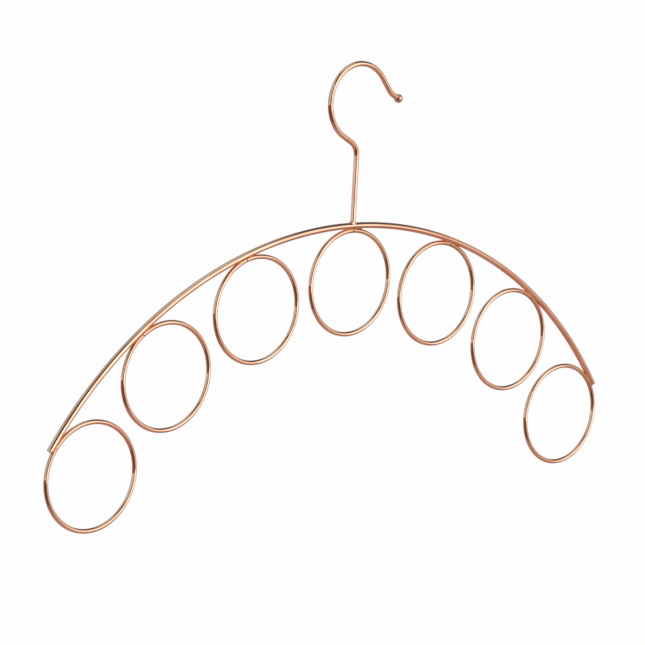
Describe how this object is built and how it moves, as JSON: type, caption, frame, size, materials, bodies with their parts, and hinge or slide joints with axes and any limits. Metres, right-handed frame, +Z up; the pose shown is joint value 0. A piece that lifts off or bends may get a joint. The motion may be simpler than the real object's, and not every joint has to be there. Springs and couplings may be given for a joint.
{
  "type": "scarf hanger",
  "caption": "Flat hanger of plated wire: a rod hook, an arched shoulder bar and a row of round rings welded under it, through which scarves are drawn.",
  "frame": {"origin": "the rod seat: the highest point inside the hook's loop, on the middle plane of the wires", "axes": "+X along the width, to the side on which the hook's ball is; +Y along the depth, across the plane of the wires; +Z up"},
  "size_m": [0.477, 0.0056, 0.2816],
  "materials": {
    "plated_wire": "mirror-polished rose copper plating on steel wire",
    "weld_metal": "plated weld metal, a little rougher and darker than the wire"
  },
  "bodies": {
    "root": {"shoulder_bar": "plated_wire", "hook_wire": "plated_wire", "hook_tip_ball": "plated_wire", "hook_weld": "weld_metal", "ring_1": "plated_wire", "ring_2": "plated_wire", "ring_3": "plated_wire", "ring_4": "plated_wire", "ring_5": "plated_wire", "ring_6": "plated_wire", "ring_7": "plated_wire", "ring_weld_1": "weld_metal", "ring_weld_2": "weld_metal", "ring_weld_3": "weld_metal", "ring_weld_4": "weld_metal", "ring_weld_5": "weld_metal", "ring_weld_6": "weld_metal", "ring_weld_7": "weld_metal"}
  },
  "joints": []
}
